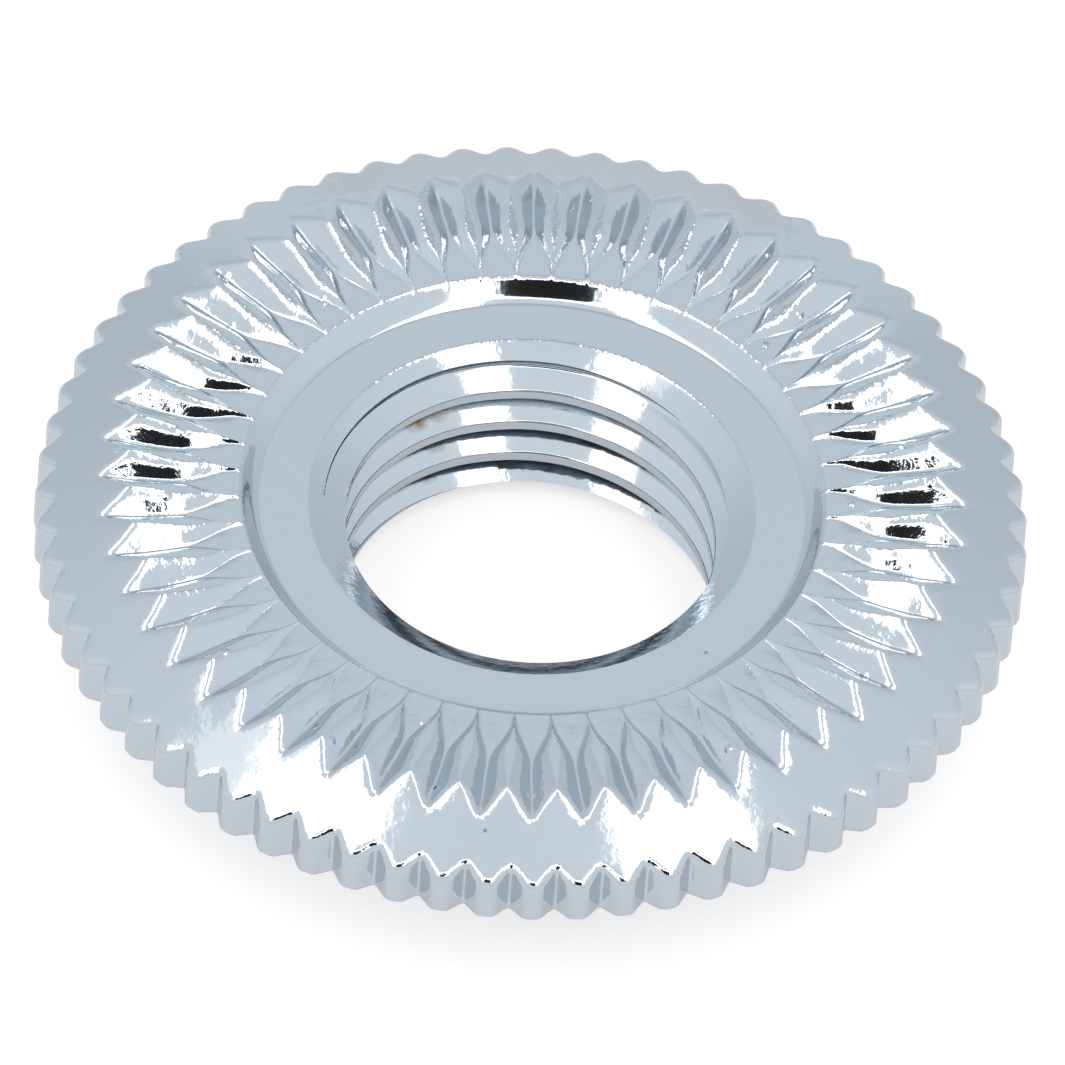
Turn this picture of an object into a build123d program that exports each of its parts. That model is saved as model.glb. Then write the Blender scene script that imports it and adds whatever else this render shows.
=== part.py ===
from build123d import *
from math import cos, radians, tan
import os

# A serrated hub lock nut: one piece of steel, turned, knurled on its rim and serrated on its face.
# Millimetres, +Z up along the bore, origin at the centre of the boss's bottom face.

# M9 x 1 thread. The bore has the thread's minor radius, and the turns belong to the finish.
thread_major_radius = 4.5
thread_minor_radius = 4.0

# Countersink at the recess: it opens a little wider than the thread. The boss's end opens just to the thread.
countersink_margin = 0.31
countersink_angle = 120.0

# Hexagonal boss below the flange, for a spanner, with a turned chamfer on its end.
boss_across_flats = 14.0
boss_height = 2.9
boss_face_inset = 0.4
boss_chamfer_angle = 30.0

# Flange with a straight knurl of about 1 mm pitch: V flutes with eased shoulders.
rim_radius = 10.7
rim_height = 1.3
rim_top_break_width = 0.28
rim_top_break_height = 0.10
rim_bottom_break = 0.06
flute_count = 67
flute_depth = 0.27
flute_half_width = 0.26
flute_shoulder_depth = 0.045
flute_shoulder_half_width = 0.39
flute_crest_angle = 172.03

# Crown: a shallow cone from the rim up to the groove tips, then a steeper one up to the tooth crests.
crown_edge_height = 0.055
crown_width = 1.38
tip_height = 0.517
crest_inset = 0.60
crest_height = 0.82

# Recess inside the teeth. Its flat floor is level with the top of the rim.
lip_radius = 6.35
lip_height = 0.45
recess_wall_run = 0.41
recess_fillet = 0.15

# Serrations: radial V grooves with a nearly level floor, narrow outside and flaring towards the lip.
groove_count = 52
groove_angle = -3.96
groove_flank_angle = 41.0
groove_lip_depth = 0.03
groove_floor_tip = 0.04
groove_floor_neck = 0.13
groove_floor_lip = 0.63
groove_flare_length = 1.25

# How far the cutting shapes run past what they cut. Those of the grooves lie close together at the lip.
overrun = 0.3
groove_overcut = 0.02
groove_lip_overrun = 0.05

# Radii and heights that follow from the sizes above.
countersink_radius = thread_major_radius + countersink_margin
recess_radius = lip_radius - recess_wall_run
tip_radius = rim_radius - crown_width
crest_radius = tip_radius - crest_inset
crown_edge_radius = rim_radius - rim_top_break_width
rim_top_z = boss_height + rim_height
tip_z = rim_top_z + tip_height
crest_z = rim_top_z + crest_height
lip_z = rim_top_z + lip_height
groove_lip_z = lip_z - groove_lip_depth

# The groove floors and the tooth tops rise in straight lines from the lip outwards.
floor_slope = (tip_z - groove_lip_z) / (tip_radius - lip_radius)
tooth_slope = (crest_z - lip_z) / (crest_radius - lip_radius)
floor_plane = Plane(origin=(lip_radius, 0, groove_lip_z), x_dir=(1, 0, floor_slope), z_dir=(-floor_slope, 0, 1))
cut_top = (lip_radius, 0, lip_z + groove_overcut)
cut_top_plane = Plane(origin=cut_top, x_dir=(1, 0, tooth_slope), z_dir=(-tooth_slope, 0, 1))

# One groove, as a solid to take away: its floor's outline, raised with sloping walls to just above the teeth.
floor_end = tip_radius - lip_radius + overrun
with BuildPart() as groove:
    with BuildSketch(floor_plane):
        with BuildLine():
            Polyline(
                (-groove_lip_overrun, -groove_floor_lip / 2),
                (groove_flare_length, -groove_floor_neck / 2),
                (floor_end, -groove_floor_tip / 2),
                (floor_end, groove_floor_tip / 2),
                (groove_flare_length, groove_floor_neck / 2),
                (-groove_lip_overrun, groove_floor_lip / 2),
                close=True,
            )
        make_face()
    extrude(amount=crest_height, taper=groove_flank_angle - 90)
    split(bisect_by=cut_top_plane, keep=Keep.BOTTOM)

# The nut.
with BuildPart() as lock_nut:
    # Flange, crown and recess, turned in one profile.
    with BuildSketch(Plane.XZ):
        with BuildLine():
            Polyline(
                (0, boss_height),
                (rim_radius - rim_bottom_break, boss_height),
                (rim_radius, boss_height + rim_bottom_break),
                (rim_radius, rim_top_z - rim_top_break_height),
                (crown_edge_radius, rim_top_z + crown_edge_height),
                (tip_radius, tip_z),
                (crest_radius, crest_z),
                (lip_radius, lip_z),
                (recess_radius, rim_top_z),
                (0, rim_top_z),
                close=True,
            )
        make_face()
    revolve(axis=Axis.Z)
    recess_circles = lock_nut.edges().filter_by(GeomType.CIRCLE).filter_by_position(Axis.Z, rim_top_z, rim_top_z)
    fillet(recess_circles.sort_by(SortBy.RADIUS)[0], recess_fillet)

    # Hexagonal boss with its chamfered end.
    with BuildSketch(Plane.XY):
        RegularPolygon(boss_across_flats / 2, 6, major_radius=False)
    extrude(amount=boss_height)
    boss_face_radius = boss_across_flats / 2 - boss_face_inset
    chamfer_radius = boss_across_flats / 2 / cos(radians(30)) + overrun
    chamfer_height = (chamfer_radius - boss_face_radius) * tan(radians(boss_chamfer_angle))
    with BuildSketch(Plane.XZ):
        Polygon((boss_face_radius, 0), (chamfer_radius, 0), (chamfer_radius, chamfer_height), align=None)
    revolve(axis=Axis.Z, mode=Mode.SUBTRACT)

    # Bore with a wide countersink at the recess and a plain one at the boss.
    with Locations((0, 0, rim_top_z)):
        CounterSinkHole(thread_minor_radius, countersink_radius, counter_sink_angle=countersink_angle)
    bore_mouth = lock_nut.edges().filter_by(GeomType.CIRCLE).group_by(Axis.Z)[0].sort_by(SortBy.RADIUS)[0]
    chamfer(bore_mouth, thread_major_radius - thread_minor_radius)

    # Knurl: V flutes right through the flange's edge.
    shoulder_radius = rim_radius - flute_shoulder_depth
    outside_radius = rim_radius + flute_shoulder_depth / 2
    flute_angle = flute_crest_angle + 180 / flute_count
    with BuildSketch(Plane.XY.offset(boss_height - overrun)):
        with PolarLocations(0, flute_count, start_angle=flute_angle):
            Polygon(
                (rim_radius - flute_depth, 0),
                (shoulder_radius, flute_half_width),
                (outside_radius, flute_shoulder_half_width),
                (outside_radius, -flute_shoulder_half_width),
                (shoulder_radius, -flute_half_width),
                align=None,
            )
    extrude(amount=rim_height + 2 * overrun, mode=Mode.SUBTRACT)

    # Serrations.
    with PolarLocations(0, groove_count, start_angle=groove_angle):
        add(groove.part, mode=Mode.SUBTRACT)

lock_nut.part.label = "lock_nut"
os.makedirs("parts", exist_ok=True)
export_step(lock_nut.part, "parts/lock_nut.step")
print("box", lock_nut.part.bounding_box(), "volume", round(lock_nut.part.volume, 2))
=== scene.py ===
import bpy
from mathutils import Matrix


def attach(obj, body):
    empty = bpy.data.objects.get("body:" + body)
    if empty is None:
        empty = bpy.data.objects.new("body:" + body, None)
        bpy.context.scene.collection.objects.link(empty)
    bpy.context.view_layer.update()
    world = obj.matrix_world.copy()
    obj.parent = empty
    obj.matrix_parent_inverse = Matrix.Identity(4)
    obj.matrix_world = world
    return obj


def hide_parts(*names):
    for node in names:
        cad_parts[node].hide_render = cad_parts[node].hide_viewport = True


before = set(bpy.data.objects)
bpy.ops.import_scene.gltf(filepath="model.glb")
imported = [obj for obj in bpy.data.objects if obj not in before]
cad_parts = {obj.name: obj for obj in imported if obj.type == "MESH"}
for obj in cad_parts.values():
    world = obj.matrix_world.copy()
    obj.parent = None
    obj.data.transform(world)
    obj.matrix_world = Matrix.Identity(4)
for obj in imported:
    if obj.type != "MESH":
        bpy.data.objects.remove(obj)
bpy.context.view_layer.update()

import math

import bmesh
import bpy
from mathutils import Matrix, Vector, noise

# The crown with its serrations. The nut is turned from a steel bar, and a die presses 52 radial V grooves into the
# raised ring of its upper face, so that each tooth is a long tongue with rounded edges, wide at its outer end.
# Sizes are in mm, and heights count from the top of the rim.
mm = 0.001
rim_top = 4.2
crest_radius = 8.72
crest_height = 0.82
crest_blend = 0.08
tip_radius = 9.32
face_slope = 0.505
face_ease = 0.012
lip_radius = 6.35
lip_height = 0.46
lip_blend = 0.05
recess_foot_radius = 5.94
recess_foot_blend = 0.12
recess_wall_slope = 1.1

tooth_count = 52
groove_angle = -3.96
floor_height = 0.405
floor_slope = 0.012
floor_dip = 0.045
dip_radius = 7.75
dip_reach = 1.15
floor_lift = 0.06
lift_radius = 8.5
line_half_width = 0.03
funnel_half_width = 0.345
funnel_end = 6.5
funnel_start = 7.75
flank_slope = 1.2
flank_bow = 0.42
flank_opening = 0.16
opening_radius = 8.0

# Where the rows of points lie. They are close together at the lip, the crests and the tips, where the face turns
# most, and past the tips they lie on the plain cone.
crown_rows = [5.80, 5.86, 5.91, 5.96, 6.02, 6.10, 6.19, 6.25, 6.29, 6.33, 6.37, 6.41, 6.47, 6.56, 6.68, 6.82, 6.97,
              7.12, 7.27, 7.42, 7.57, 7.75, 7.95, 8.15, 8.35, 8.50, 8.60, 8.66, 8.70, 8.74, 8.78, 8.84, 8.92, 9.01,
              9.10, 9.18, 9.25, 9.31, 9.38, 9.47, 9.60, 9.78, 9.95, 10.10]
plain_cone_radius = 9.4
side_points = 10
least_gap = 0.012


def ramp(value, start, end):
    """From 0 at the start to 1 at the end, and level beyond them."""
    return min(max((value - start) / (end - start), 0), 1)


def soft_min(a, b, blend):
    """The lower of two heights, with the corner between them rounded."""
    return min(a, b) - max(blend - abs(a - b), 0) ** 2 / (4 * blend)


def soft_max(a, b, blend):
    """The higher of two heights, with the corner between them rounded."""
    return -soft_min(-a, -b, blend)


def face_height(r):
    """The outer face, a cone that eases a little towards the rim."""
    return crest_height - face_slope * (r - crest_radius) + face_ease * (r - crest_radius) * (r - tip_radius)


def tooth_top(r):
    """The turned crown before its grooves are pressed: up from the lip, and down the outer face."""
    rise = lip_height + (r - lip_radius) * (crest_height - lip_height) / (crest_radius - lip_radius)
    return soft_min(rise, face_height(r), crest_blend)


def groove_floor(r):
    """Height of a groove's floor: nearly level, a little deeper midway, and rising to meet the face."""
    dip = floor_dip * max(1 - ((r - dip_radius) / dip_reach) ** 2, 0)
    lift = floor_lift * (max(r - lift_radius, 0) / (tip_radius - lift_radius)) ** 2
    return floor_height + floor_slope * (r - lip_radius) - dip + lift


def floor_half_width(r):
    """Half the width of a groove's floor: a narrow line outside, opening to a funnel at the lip."""
    funnel = ramp(r, funnel_start, funnel_end)
    return line_half_width + (funnel_half_width - line_half_width) * funnel ** 2 * (3 - 2 * funnel)


def flank_rise(r, across):
    """How far a groove's flank has risen at a distance across from its foot. It bows, and is less steep outside."""
    return (flank_slope - flank_opening * max(r - opening_radius, 0)) * across - flank_bow * across * abs(across)


def crown_height(r, s):
    """Height at a radius r and a distance s along the arc from the middle of a groove."""
    floor_blend = 0.035 + 0.045 * ramp(r, 8.5, 9.0)
    edge_blend = 0.045 + 0.085 * ramp(r, 6.8, 8.0)
    flank = groove_floor(r) + flank_rise(r, abs(s) - floor_half_width(r))
    teeth = soft_min(tooth_top(r), soft_max(groove_floor(r), flank, floor_blend), edge_blend)
    wall = soft_max((r - recess_foot_radius) * recess_wall_slope, 0, recess_foot_blend)
    return soft_min(wall, teeth, lip_blend)


def crown_row(r):
    """One row of points across a tooth pitch, close together at the edges of the groove."""
    toothed = max(r, lip_radius)
    half = math.pi * toothed / tooth_count
    floor_edge = floor_half_width(toothed)
    mouth = floor_edge
    while flank_rise(toothed, mouth - floor_edge) < tooth_top(toothed) - groove_floor(toothed) and mouth < half:
        mouth += 0.005
    side = [0, floor_edge - 0.03, floor_edge, floor_edge + 0.035, (floor_edge + mouth) / 2, mouth - 0.09,
            mouth - 0.03, mouth + 0.03, mouth + 0.085, (mouth + 0.085 + half) / 2, half]
    for k in range(1, side_points):
        side[k] = max(side[k], side[k - 1] + least_gap)
    for k in range(side_points - 1, 0, -1):
        side[k] = min(side[k], side[k + 1] - least_gap)
    evened = max(ramp(r, 9.35, 9.85), ramp(r, 6.3, 5.95))
    row = []
    for k in range(-side_points, side_points + 1):
        share = side[abs(k)] / half
        share += (abs(k) / side_points - share) * evened
        s = math.copysign(share, k) * math.pi * r / tooth_count
        angle = math.radians(groove_angle) + s / r
        height = face_height(r) if r > plain_cone_radius else crown_height(r, s)
        row.append(Vector((r * math.cos(angle), r * math.sin(angle), rim_top + height)) * mm)
    return row


def strip(name, rows):
    """A strip of faces with its first edge on the first row, extruded from row to row."""
    bpy.ops.object.select_all(action="DESELECT")
    bpy.ops.mesh.primitive_grid_add(x_subdivisions=len(rows[0]) - 1, y_subdivisions=1, size=2)
    piece = bpy.context.object
    piece.name = name
    bpy.ops.object.mode_set(mode="EDIT")
    mesh = bmesh.from_edit_mesh(piece.data)
    lines = sorted(mesh.verts, key=lambda v: (v.co.y, v.co.x))
    for vertex, point in zip(lines, rows[0] + rows[1]):
        vertex.co = point
    last = rows[1]
    for row in rows[2:]:
        place = {p.to_tuple(7): q for p, q in zip(last, row)}
        bpy.ops.mesh.select_all(action="DESELECT")
        for edge in mesh.edges:
            if edge.is_boundary and all(v.co.to_tuple(7) in place for v in edge.verts):
                edge.select_set(True)
        bpy.ops.mesh.extrude_edges_indiv()
        mesh = bmesh.from_edit_mesh(piece.data)
        for vertex in mesh.verts:
            if vertex.select:
                vertex.co = place[vertex.co.to_tuple(7)]
        last = row
    bmesh.update_edit_mesh(piece.data)
    return piece


def merge_points():
    """Merges the points of the mesh in hand that lie in one place."""
    bpy.ops.mesh.select_all(action="SELECT")
    bpy.ops.mesh.remove_doubles(threshold=0.001 * mm)


def copy_round(count):
    """Copies the strip in hand round the axis and merges where the copies meet."""
    bpy.ops.mesh.select_all(action="SELECT")
    turn = 2 * math.pi * ((count - 1) / count)
    bpy.ops.mesh.spin(steps=count - 1, dupli=True, angle=turn, center=(0, 0, 0), axis=(0, 0, 1))
    merge_points()
    bpy.ops.object.mode_set(mode="OBJECT")


# One tooth pitch is grown from a strip, row by row outwards, and copied round. No two pressed teeth are quite alike:
# the metal has flowed a little up, down and aside.
crown = strip("crown", [crown_row(r) for r in crown_rows])
copy_round(tooth_count)
for vertex in crown.data.vertices:
    r = vertex.co.xy.length / mm
    flow = ramp(r, 6.2, 6.7) * ramp(r, 9.75, 9.15) * mm
    aside = Vector((-vertex.co.y, vertex.co.x, 0)).normalized()
    ground = Vector((vertex.co.x, vertex.co.y, 0)) / mm
    vertex.co += aside * noise.noise(ground / 1.5) * 0.03 * flow
    vertex.co.z += (noise.noise(ground / 0.7 + Vector((0, 0, 5))) * 0.016 - 0.004) * flow

# The rim with its knurl. A wheel rolls 67 V flutes into the edge of the flange, about a millimetre apart, and leaves
# rounded crests. The plating rounds the edge above them, and a turned chamfer breaks the crests below. One flute is
# modelled and copied round.
flute_count = 67
crest_angle = 171.28
rim_radius = 10.7
rim_height = 1.3
crest_round = 0.31
flute_bottom_radius = 10.355
flute_bottom_round = 0.03
flute_wall_slope = 1.0
edge_round = 0.26
low_chamfer = 0.12
low_chamfer_slope = 0.9
low_chamfer_blend = 0.02
face_angle = 25.5
inner_rim_radius = 10.15
flute_angle = math.radians(crest_angle + 180 / flute_count)
flute_half = math.pi * rim_radius / flute_count
flute_side = [0, 0.025, 0.06, 0.13, 0.20, 0.25, 0.285, 0.325, 0.37, 0.415, 0.46, flute_half]
flute_line = [-s for s in flute_side[:0:-1]] + flute_side


def rim_outline(s):
    """A point of the fluted outline, at a distance s along the rim from the middle of a flute."""
    from_crest = flute_half - abs(s)
    if abs(from_crest) < crest_round * math.sin(math.atan(flute_wall_slope)):
        r = rim_radius - crest_round + math.sqrt(crest_round ** 2 - from_crest ** 2)
    else:
        from_middle = math.sqrt(s * s + flute_bottom_round ** 2) - flute_bottom_round
        r = flute_bottom_radius + flute_wall_slope * from_middle
    angle = flute_angle + s / rim_radius
    return Vector((r * math.cos(angle), r * math.sin(angle)))


def rim_point(s, inset, drop):
    """A point of the rim's top edge, set in from the outline and dropped from the outer face."""
    along = (rim_outline(s + 0.002) - rim_outline(s - 0.002)).normalized()
    p = rim_outline(s) + Vector((-along.y, along.x)) * inset
    return Vector((p.x, p.y, rim_top + face_height(p.length) - drop)) * mm


def circle_point(s, r, z):
    """A point of a plain circle, level with the same place of the outline."""
    angle = flute_angle + s / rim_radius
    return Vector((r * math.cos(angle), r * math.sin(angle), rim_top + z)) * mm


rim_rows = [[circle_point(s, inner_rim_radius, face_height(inner_rim_radius)) for s in flute_line]]
rim_rows.append([(circle_point(s, 10.20, face_height(10.20)) + rim_point(s, 0.17, 0)) / 2 for s in flute_line])
face_turn = math.radians(face_angle)
for steep in (face_angle, 32, 44, 56, 68, 79, 90):
    inset = edge_round * (1 - math.sin(math.radians(steep)))
    drop = edge_round * (math.cos(face_turn) - math.cos(math.radians(steep)))
    drop -= (edge_round * (1 - math.sin(face_turn)) - inset) * math.tan(face_turn)
    rim_rows.append([rim_point(s, inset, drop) for s in flute_line])
for inset, lift in [(0, 0.60), (0, 0.20), (0, 0.12), (0, 0.07), (0.02, 0.02), (0.06, 0), (0.10, 0)]:
    turned = rim_radius + low_chamfer_blend - inset - max(low_chamfer - lift, 0) * low_chamfer_slope
    low = []
    for s in flute_line:
        p = rim_point(s, inset, 0).xy
        p = p.normalized() * soft_min(p.length / mm, turned, low_chamfer_blend)
        low.append(Vector((p.x, p.y, rim_top - rim_height + lift)) * mm)
    rim_rows.append(low)
for r in (inner_rim_radius, 9.6):
    rim_rows.append([circle_point(s, r, -rim_height) for s in flute_line])
rim = strip("rim", rim_rows)
copy_round(flute_count)

# The hexagonal boss under the flange, for a spanner. It is milled from the bar and its end is turned to a chamfer,
# which cuts the six flats in shallow arcs. One corner is modelled, from flat to flat, and copied round.
across_flats = 14.0
corner_round = math.radians(0.7)
boss_bottom = -4.2
chamfer_face_radius = 6.6
chamfer_slope = math.tan(math.radians(30))
corner_side = [0, 0.7, 1.5, 3, 6, 11, 17, 24, 30]
corner_line = [math.radians(a) for a in [-a for a in corner_side[:0:-1]] + corner_side]


def boss_point(turn, inset, z):
    """A point beside the hexagon's outline, at an angle from its corner."""
    from_flat = math.radians(30) - math.sqrt(turn ** 2 + corner_round ** 2)
    r = across_flats / 2 / math.cos(max(from_flat, 0)) - inset
    return Vector((r * math.cos(turn), r * math.sin(turn), rim_top + z)) * mm


# Down from the flange: the fillet under it and the flats, then the edge of the chamfer, and the rounded edge of the
# end face.
boss_rows = []
for inset, z in [(-0.35, -1.30), (-0.12, -1.30), (-0.06, -1.316), (-0.016, -1.36), (0, -1.42), (0, -1.5)]:
    boss_rows.append([boss_point(turn, inset, z) for turn in corner_line])
for inset, lift in [(0, 0.06), (0, 0.03), (0.012, 0.008), (0.035, -0.02), (0.07, -0.04)]:
    row = []
    for turn in corner_line:
        from_face = boss_point(turn, 0, 0).xy.length / mm - chamfer_face_radius
        row.append(boss_point(turn, inset, boss_bottom + from_face * chamfer_slope + lift))
    boss_rows.append(row)
for r, lift in [(6.68, 0.046), (6.64, 0.023), (6.60, 0.006), (6.55, 0), (6.45, 0), (5.3, 0)]:
    z = rim_top + boss_bottom + lift
    boss_rows.append([Vector((r * math.cos(turn), r * math.sin(turn), z)) * mm for turn in corner_line])
boss = strip("boss", boss_rows)
copy_round(6)

# The bore. It is drilled, countersunk at both ends and tapped with an M9 x 1 right-hand thread, whose turns run out
# over the wide upper countersink. A sleeve is spun from its section, and a tap, a threaded rod, is taken out of it.
thread_pitch = 1.0
thread_minor = 4.0
thread_major = 4.5
thread_phase = 46.0
thread_land = 0.25
thread_flank = (thread_major - thread_minor) * math.tan(math.radians(30))
tap_start = -7.0
tap_turns = 9
round_steps = 192
sleeve_corners = [(5.2, 0), (4.82, 0), (3.9, -0.597), (3.9, -3.58), (4.56, -4.2), (5.2, -4.2)]
sleeve_setbacks = [0, 0.06, 0, 0, 0.04, 0]
stock_radius = 4.872


def eased(points, setbacks, steps=3):
    """The same line of points, with each corner replaced by a short curve that starts a setback before it."""
    line = []
    for i, (point, setback) in enumerate(zip(points, setbacks)):
        p = Vector(point)
        if not setback:
            line.append(p)
            continue
        a = p + (Vector(points[i - 1]) - p).normalized() * setback
        b = p + (Vector(points[(i + 1) % len(points)]) - p).normalized() * setback
        for k in range(steps + 1):
            t = k / steps
            line.append(a * (1 - t) ** 2 + p * 2 * t * (1 - t) + b * t ** 2)
    return line


def section(name, points):
    """A line of edges in the XZ plane through points (radius, height), drawn by extruding one vertex."""
    bpy.ops.object.select_all(action="DESELECT")
    bpy.ops.mesh.primitive_plane_add(size=0.1 * mm)
    piece = bpy.context.object
    piece.name = name
    bpy.ops.object.mode_set(mode="EDIT")
    bpy.ops.mesh.merge(type="CENTER")
    here = Vector((0, 0, 0))
    for i, (r, z) in enumerate(points):
        there = Vector((r, 0, rim_top + z)) * mm
        if i == 0:
            bpy.ops.transform.translate(value=there)
        else:
            bpy.ops.mesh.extrude_region_move(TRANSFORM_OT_translate={"value": there - here})
        here = there
    return piece


def turn_outwards():
    """Points the faces of the closed mesh in hand outwards, and leaves edit mode."""
    bpy.ops.mesh.select_all(action="SELECT")
    bpy.ops.mesh.normals_make_consistent(inside=False)
    bpy.ops.object.mode_set(mode="OBJECT")


sleeve = section("sleeve", eased(sleeve_corners, sleeve_setbacks))
bpy.ops.mesh.select_all(action="DESELECT")
mesh = bmesh.from_edit_mesh(sleeve.data)
for vertex in mesh.verts:
    if len(vertex.link_edges) == 1:
        vertex.select_set(True)
bpy.ops.mesh.edge_face_add()
bpy.ops.mesh.select_all(action="SELECT")
bpy.ops.mesh.spin(steps=round_steps, angle=2 * math.pi, center=(0, 0, 0), axis=(0, 0, 1))
merge_points()
turn_outwards()

land_end = thread_land * thread_pitch / 2
root_start = land_end + thread_flank
tap_corners = [(thread_minor, 0), (thread_minor, land_end), (thread_major, root_start),
               (thread_major, thread_pitch - root_start), (thread_minor, thread_pitch - land_end),
               (thread_minor, thread_pitch)]
tap_line = [p + Vector((0, tap_start)) for p in eased(tap_corners, [0, 0.035, 0.05, 0.05, 0.035, 0])]
tap = section("tap", tap_line)
bpy.ops.object.mode_set(mode="OBJECT")
bpy.ops.object.modifier_add(type="SCREW")
screw = tap.modifiers[-1]
screw.angle = 2 * math.pi
screw.screw_offset = thread_pitch * mm
screw.steps = round_steps
screw.render_steps = round_steps
screw.iterations = tap_turns
screw.use_merge_vertices = False
bpy.ops.object.modifier_apply(modifier=screw.name)
bpy.ops.object.mode_set(mode="EDIT")
merge_points()
for low in (True, False):
    bpy.ops.mesh.select_all(action="DESELECT")
    mesh = bmesh.from_edit_mesh(tap.data)
    for edge in mesh.edges:
        middle = (edge.verts[0].co.z + edge.verts[1].co.z) / 2
        if edge.is_boundary and (middle < 0) == low:
            edge.select_set(True)
    bpy.ops.mesh.extrude_edges_indiv()
    bpy.ops.mesh.merge(type="CENTER")
turn_outwards()
tap.data.transform(Matrix.Rotation(math.radians(thread_phase), 4, "Z"))

bpy.ops.object.select_all(action="DESELECT")
sleeve.select_set(True)
bpy.context.view_layer.objects.active = sleeve
bpy.ops.object.modifier_add(type="BOOLEAN")
cut = sleeve.modifiers[-1]
cut.operation = "DIFFERENCE"
cut.solver = "EXACT"
cut.object = tap
bpy.ops.object.modifier_apply(modifier=cut.name)
bpy.data.objects.remove(tap)
bpy.ops.object.mode_set(mode="EDIT")
bpy.ops.mesh.select_all(action="DESELECT")
bpy.ops.mesh.select_mode(type="FACE")
mesh = bmesh.from_edit_mesh(sleeve.data)
for face in mesh.faces:
    if face.calc_center_median().xy.length > stock_radius * mm:
        face.select_set(True)
bpy.ops.mesh.delete(type="FACE")
bpy.ops.mesh.select_mode(type="VERT")
bpy.ops.object.mode_set(mode="OBJECT")

# The whole nut is one piece of steel, so crown, rim, boss and bore are joined, and the level rings between them
# are closed from edge to edge.
smooth_angle = math.radians(38)
bpy.ops.object.select_all(action="DESELECT")
for piece in (crown, rim, boss, sleeve):
    piece.select_set(True)
bpy.context.view_layer.objects.active = crown
bpy.ops.object.join()
nut = bpy.context.object
nut.name = "plated_nut"
bpy.ops.object.mode_set(mode="EDIT")


def pick_open_edges(holds):
    """Selects the open edges whose points the test holds for, given as radius and height in mm."""
    bpy.ops.mesh.select_all(action="DESELECT")
    mesh = bmesh.from_edit_mesh(nut.data)
    for edge in mesh.edges:
        if edge.is_boundary and all(holds(v.co.xy.length / mm, v.co.z / mm - rim_top) for v in edge.verts):
            edge.select_set(True)


bpy.ops.mesh.select_mode(type="EDGE")
pick_open_edges(lambda r, z: 10.05 < r < 10.2 and z > 0)
bpy.ops.mesh.bridge_edge_loops()
for ring_height in (0, -rim_height, boss_bottom):
    pick_open_edges(lambda r, z: abs(z - ring_height) < 0.001)
    bpy.ops.mesh.fill(use_beauty=True)
turn_outwards()
bpy.ops.object.shade_smooth_by_angle(angle=smooth_angle)

# The plating builds up in beads along the edges, and it is uneven where the teeth were pressed. How sharply the
# surface bends outwards at each point, and how much it was pressed there, is kept with the mesh, and the plating
# follows it. The bore's edges have finer beads.
sharpest_bend = 6.0
bore_beads = 0.3
shape = bmesh.new()
shape.from_mesh(nut.data)
bend = shape.verts.layers.float.new("edge")
pressed = shape.verts.layers.float.new("pressed")
for vertex in shape.verts:
    r = vertex.co.xy.length / mm
    if vertex.co.z / mm > rim_top + 0.2:
        vertex[pressed] = ramp(r, 6.3, 6.6) * ramp(r, 9.3, 9.1)
for edge in shape.edges:
    if edge.is_manifold:
        near, far = [face.calc_center_median() for face in edge.link_faces]
        apart = max((near - far).length / mm, 0.01)
        sharp = ramp(edge.calc_face_angle_signed(0) / apart, 0, sharpest_bend)
        for vertex in edge.verts:
            vertex[bend] = max(vertex[bend], sharp)
for vertex in shape.verts:
    if vertex.co.xy.length < 4.65 * mm:
        vertex[bend] *= bore_beads
shape.to_mesh(nut.data)
shape.free()


# Bright chrome plate on steel: a mirror that is a little blue, with a slight waviness from the pressed and rolled
# steel under it, dents and grains on the pressed teeth, and beads along the edges that break the lights up into dots.
# Dents and grains are as coarse as they have to be to show.
def linear(code):
    """An sRGB hex value as linear colour."""
    part = [int(code[i:i + 2], 16) / 255 for i in (0, 2, 4)]
    return [c / 12.92 if c < 0.04045 else ((c + 0.055) / 1.055) ** 2.4 for c in part] + [1]


def add(tree, kind, settings=None, inputs=(), **links):
    """A node with its settings, and with its inputs set or linked, in their order or by name."""
    node = tree.nodes.new(kind)
    for key, value in (settings or {}).items():
        setattr(node, key, value)
    sockets = list(zip(node.inputs, inputs))
    sockets += [(node.inputs[key.replace("_", " ")], value) for key, value in links.items()]
    for socket, value in sockets:
        if isinstance(value, bpy.types.NodeSocket):
            tree.links.new(value, socket)
        else:
            socket.default_value = value
    return node


chrome = bpy.data.materials.new("bright_chrome_plate")
chrome.use_nodes = True
tree = chrome.node_tree
tree.nodes.clear()
place = add(tree, "ShaderNodeTexCoord").outputs["Object"]
pressed_part = add(tree, "ShaderNodeAttribute", {"attribute_name": "pressed"}).outputs["Fac"]
edge_part = add(tree, "ShaderNodeAttribute", {"attribute_name": "edge"}).outputs["Fac"]

waves = add(tree, "ShaderNodeTexNoise", Vector=place, Scale=2.5 / mm, Detail=2.0, Roughness=0.5)
wavy = add(tree, "ShaderNodeBump", Strength=1.0, Distance=0.004 * mm, Height=waves.outputs["Fac"])
dents = add(tree, "ShaderNodeTexNoise", Vector=place, Scale=3.6 / mm, Detail=3.0, Roughness=0.5)
dent_depth = add(tree, "ShaderNodeMapRange", Value=pressed_part, To_Min=0.0, To_Max=0.013 * mm)
dented = add(tree, "ShaderNodeBump", Strength=1.0, Distance=dent_depth.outputs["Result"],
             Height=dents.outputs["Fac"], Normal=wavy.outputs["Normal"])
grains = add(tree, "ShaderNodeTexVoronoi", Vector=place, Scale=1.25 / mm)
grain_tops = add(tree, "ShaderNodeMapRange", {"interpolation_type": "SMOOTHSTEP"}, Value=grains.outputs["Distance"],
                 From_Min=0.0, From_Max=0.16, To_Min=1.0, To_Max=0.0)
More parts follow.
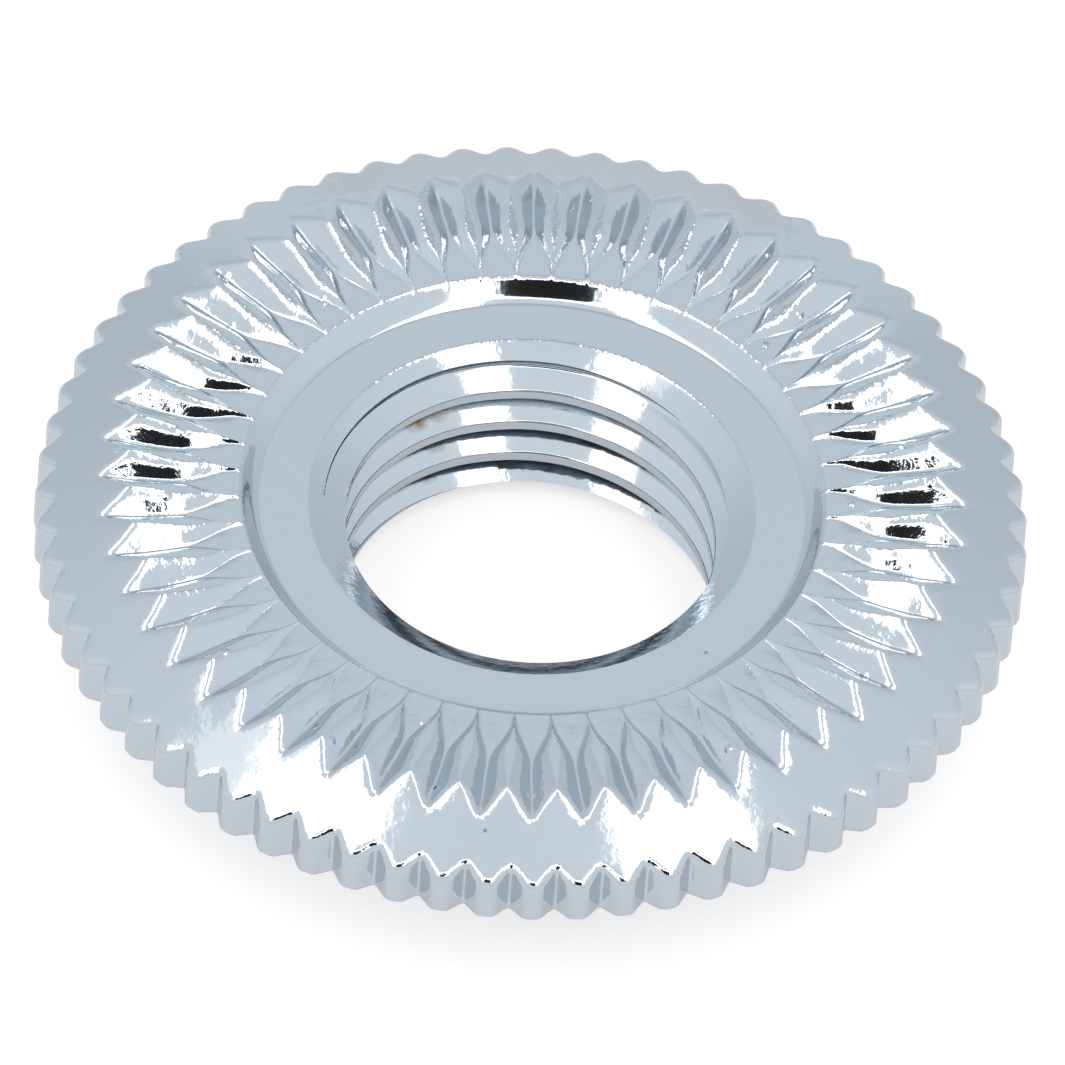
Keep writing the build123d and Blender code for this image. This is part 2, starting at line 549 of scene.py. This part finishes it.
grain_height = add(tree, "ShaderNodeMapRange", Value=pressed_part, To_Min=0.0, To_Max=0.028 * mm)
grainy = add(tree, "ShaderNodeBump", Strength=1.0, Distance=grain_height.outputs["Result"],
             Height=grain_tops.outputs["Result"], Normal=dented.outputs["Normal"])
beads = add(tree, "ShaderNodeTexNoise", Vector=place, Scale=7 / mm, Detail=2.0, Roughness=0.5)
bead_height = add(tree, "ShaderNodeMapRange", Value=edge_part, To_Min=0.0012 * mm, To_Max=0.014 * mm)
beaded = add(tree, "ShaderNodeBump", Strength=1.0, Distance=bead_height.outputs["Result"],
             Height=beads.outputs["Fac"], Normal=grainy.outputs["Normal"])

# Painted shade: the plate's colour is darkened in the roots of the thread, which lie in the shade of the turn above.
flat = add(tree, "ShaderNodeVectorMath", {"operation": "MULTIPLY"}, [place, (1, 1, 0)]).outputs["Vector"]
from_axis = add(tree, "ShaderNodeVectorMath", {"operation": "LENGTH"}, [flat]).outputs["Value"]
up = add(tree, "ShaderNodeSeparateXYZ", Vector=place).outputs["Z"]
root_shade_share = add(tree, "ShaderNodeMapRange", Value=from_axis, From_Min=4.30 * mm, From_Max=4.42 * mm)
in_bore = add(tree, "ShaderNodeMapRange", Value=from_axis, From_Min=4.8 * mm, From_Max=4.9 * mm,
              To_Min=1.0, To_Max=0.0)
below_mouth = add(tree, "ShaderNodeMapRange", Value=up, From_Min=3.4 * mm, From_Max=3.6 * mm,
                  To_Min=0.85, To_Max=0.0)
above_end = add(tree, "ShaderNodeMapRange", Value=up, From_Min=0.52 * mm, From_Max=0.62 * mm)
for limit in (in_bore, below_mouth, above_end):
    root_shade_share = add(tree, "ShaderNodeMath", {"operation": "MULTIPLY"},
                     [root_shade_share.outputs[0], limit.outputs["Result"]])
# Painted shade: in the thread's roots the plate's colour is mixed towards a dark grey.
plate = add(tree, "ShaderNodeMixRGB", Fac=root_shade_share.outputs[0], Color1=linear("CAD2D8"), Color2=linear("303336"))


def distance_to(points):
    """How far the surface is from the nearest of some places, given in mm."""
    nearest = None
    for point in points:
        away = add(tree, "ShaderNodeVectorMath", {"operation": "DISTANCE"}, [place, Vector(point) * mm])
        away = away.outputs["Value"]
        nearest = add(tree, "ShaderNodeMath", {"operation": "MINIMUM"}, [away, nearest or away]).outputs[0]
    return nearest


# There are brown traces in the thread at one side, and two small pits in the level faces.
trace_spots = [(-2.2, 3.8, 2.97), (-2.65, 3.5, 2.93), (-2.2, 3.8, 1.97), (-2.3, 3.75, 1.01)]
pit_spots = [(3.94, -3.83, 4.2), (-0.49, -9.63, 4.56)]
blotches = add(tree, "ShaderNodeTexNoise", Vector=place, Scale=5 / mm, Detail=3.0, Roughness=0.6)
near_trace = add(tree, "ShaderNodeMapRange", Value=distance_to(trace_spots), From_Min=0.15 * mm, From_Max=0.4 * mm,
                 To_Min=1.8, To_Max=0.0)
trace_share = add(tree, "ShaderNodeMath", {"operation": "MULTIPLY"},
                  [near_trace.outputs["Result"], blotches.outputs["Fac"]])
traced = add(tree, "ShaderNodeMixRGB", {"use_clamp": True}, Fac=trace_share.outputs[0], Color1=plate.outputs["Color"],
             Color2=linear("80602E"))
pits = add(tree, "ShaderNodeMapRange", Value=distance_to(pit_spots), From_Min=0.02 * mm, From_Max=0.06 * mm,
           To_Min=0.6, To_Max=0.0)
pitted = add(tree, "ShaderNodeMixRGB", Fac=pits.outputs["Result"], Color1=traced.outputs["Color"],
             Color2=linear("3A3C40"))
surface = add(tree, "ShaderNodeBsdfPrincipled", Base_Color=pitted.outputs["Color"], Metallic=1.0, Roughness=0.08,
              Normal=beaded.outputs["Normal"])
add(tree, "ShaderNodeOutputMaterial", Surface=surface.outputs["BSDF"])
nut.data.materials.clear()
nut.data.materials.append(chrome)

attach(nut, "root")
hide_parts("lock_nut")

# The table: a sheet of white paper. A share of its white glows for the camera, metal and glass, so that it is as
# white as the photograph's ground, and the rest is lit and keeps the nut's shadow. From below it can be looked
# through.
camera_glow = 0.58
mirror_glow = 0.22
far_glow = 0.3
bpy.ops.object.select_all(action="DESELECT")
bpy.ops.mesh.primitive_circle_add(vertices=64, radius=1.4, fill_type="NGON", location=(0, 0, 0))
paper = bpy.context.object
paper.name = "white_paper"
paper_finish = bpy.data.materials.new("white_paper")
paper_finish.use_nodes = True
tree = paper_finish.node_tree
tree.nodes.clear()
ray = add(tree, "ShaderNodeLightPath").outputs
straight = add(tree, "ShaderNodeMath", {"operation": "MAXIMUM"}, [ray["Is Camera Ray"], ray["Is Transmission Ray"]])
seen = add(tree, "ShaderNodeMath", {"operation": "MULTIPLY"}, [straight.outputs[0], camera_glow])
seen = add(tree, "ShaderNodeMath", {"operation": "MULTIPLY_ADD"},
           [ray["Is Glossy Ray"], mirror_glow, seen.outputs[0]])
spot = add(tree, "ShaderNodeTexCoord").outputs["Object"]
away = add(tree, "ShaderNodeVectorMath", {"operation": "LENGTH"}, [spot])
fading = add(tree, "ShaderNodeMapRange", {"interpolation_type": "SMOOTHSTEP"}, Value=away.outputs["Value"],
             From_Min=15 * mm, From_Max=60 * mm, To_Min=1.0, To_Max=far_glow)
share = add(tree, "ShaderNodeMath", {"operation": "MULTIPLY"}, [seen.outputs[0], fading.outputs["Result"]])
matt = add(tree, "ShaderNodeBsdfDiffuse", Color=linear("C8C8C8"))
glow = add(tree, "ShaderNodeEmission", Color=linear("FFFCFB"), Strength=share.outputs[0])
sheet = add(tree, "ShaderNodeAddShader", None, [matt.outputs["BSDF"], glow.outputs["Emission"]])
clear = add(tree, "ShaderNodeBsdfTransparent")
underside = add(tree, "ShaderNodeNewGeometry").outputs["Backfacing"]
sided = add(tree, "ShaderNodeMixShader", None, [underside, sheet.outputs["Shader"], clear.outputs["BSDF"]])
add(tree, "ShaderNodeOutputMaterial", Surface=sided.outputs["Shader"])
paper.data.materials.append(paper_finish)

# Soft studio light. A pale tent of cloth all round, whose roof and walls are a little darker in places. Each has its
# tones from the viewer's side to the far side.
roof_tones = [(0.42, "F3F9FE"), (0.52, "F3F9FE"), (0.60, "DAE2E7"), (0.70, "C5CDD2"), (0.80, "E6EDF2"),
              (0.86, "E8EFF5"), (0.94, "E3EBF0")]
wall_tones = [(0.45, "F3F9FE"), (0.65, "EAF0F7"), (0.83, "DAE1E7"), (0.95, "D4DBE1")]
world = bpy.data.worlds.new("pale_tent")
bpy.context.scene.world = world
world.use_nodes = True
tree = world.node_tree
tree.nodes.clear()
sky = add(tree, "ShaderNodeSeparateXYZ", Vector=add(tree, "ShaderNodeTexCoord").outputs["Generated"])
back = add(tree, "ShaderNodeMapRange", Value=sky.outputs["Y"], From_Min=-1.0, From_Max=1.0)
cloths = []
for tones in (roof_tones, wall_tones):
    cloth = add(tree, "ShaderNodeValToRGB", Fac=back.outputs["Result"])
    stops = cloth.color_ramp.elements
    for k, (where, tone) in enumerate(tones):
        stop = stops[k] if k < 2 else stops.new(where)
        stop.position = where
        stop.color = linear(tone)
    cloths.append(cloth.outputs["Color"])
aside = add(tree, "ShaderNodeMath", {"operation": "ABSOLUTE"}, [sky.outputs["X"]])
to_walls = add(tree, "ShaderNodeMapRange", {"interpolation_type": "SMOOTHSTEP"}, Value=aside.outputs[0],
               From_Min=0.25, From_Max=0.42)
cloth = add(tree, "ShaderNodeMixRGB", Fac=to_walls.outputs["Result"], Color1=cloths[0], Color2=cloths[1])
tent = add(tree, "ShaderNodeBackground", Color=cloth.outputs["Color"], Strength=1.0)
add(tree, "ShaderNodeOutputWorld", Surface=tent.outputs["Background"])


# Two long softboxes hang over the nut, to the left and right of the lens, with a short one between them and a dim one
# at the left. Under the short one is the dark of the camera.
def towards(side, over):
    """A direction: degrees to the side, and degrees over the zenith from the viewer's horizon."""
    a, b = math.radians(side), math.radians(over)
    return Vector((math.sin(a), -math.cos(a) * math.cos(b), math.cos(a) * math.sin(b)))


def card(name, corners, distance, tone, strength):
    """A card or softbox with its corners in the given directions, glowing evenly on both sides."""
    bpy.ops.object.select_all(action="DESELECT")
    bpy.ops.mesh.primitive_circle_add(vertices=len(corners), fill_type="NGON")
    panel = bpy.context.object
    panel.name = name
    for vertex, corner in zip(panel.data.vertices, corners):
        vertex.co = towards(*corner) * distance
    glow = bpy.data.materials.new(name)
    glow.use_nodes = True
    tree = glow.node_tree
    tree.nodes.clear()
    light = add(tree, "ShaderNodeEmission", Color=linear(tone), Strength=strength)
    add(tree, "ShaderNodeOutputMaterial", Surface=light.outputs["Emission"])
    panel.data.materials.append(glow)


card("softbox_right", [(14.8, 28), (27.2, 28), (16.2, 111), (5.0, 111)], 1.2, "FFFFFF", 3.0)
card("softbox_left", [(-15.2, 28), (-27.5, 28), (-19.0, 111), (-7.0, 111)], 1.2, "FFFFFF", 3.0)
card("softbox_left_rim", [(-21.0, 76), (-33.0, 80), (-31.5, 104), (-20.3, 104)], 1.25, "FCFFFF", 1.25)
card("softbox_over_lens", [(-14.9, 44), (14.6, 44), (13.0, 60), (-13.6, 60)], 1.2, "FFFFFF", 3.0)
card("dark_behind_lens", [(-14.3, 24), (14.3, 24), (14.4, 40), (12.8, 46), (9.0, 50), (3.0, 52), (-3.0, 52),
                          (-9.0, 50), (-12.8, 46), (-14.4, 40)], 1.15, "272729", 1.0)

# The camera, at the photograph's height and roll, far off with a long lens. It aims a little below the rim's centre.
camera_height = math.radians(48.27)
camera_roll = math.radians(4.19)
camera_distance = 496.3
aim_across = 0.01
aim_up = -0.564
ahead = Vector((0, math.cos(camera_height), -math.sin(camera_height)))
level = Vector((1, 0, 0))
upright = level.cross(ahead)
across = math.cos(camera_roll) * level + math.sin(camera_roll) * upright
upwards = -math.sin(camera_roll) * level + math.cos(camera_roll) * upright
aim = Vector((0, 0, rim_top)) + aim_across * across + aim_up * upwards
lens = bpy.data.cameras.new("long_lens")
lens.sensor_width = 36
lens.lens = 779.3
lens.clip_start = 0.01
camera = bpy.data.objects.new("camera", lens)
bpy.context.scene.collection.objects.link(camera)
facing = Matrix((across, upwards, -ahead)).transposed()
camera.matrix_world = Matrix.Translation((aim - ahead * camera_distance) * mm) @ facing.to_4x4()
bpy.context.scene.camera = camera
bpy.context.scene.view_settings.view_transform = "Standard"
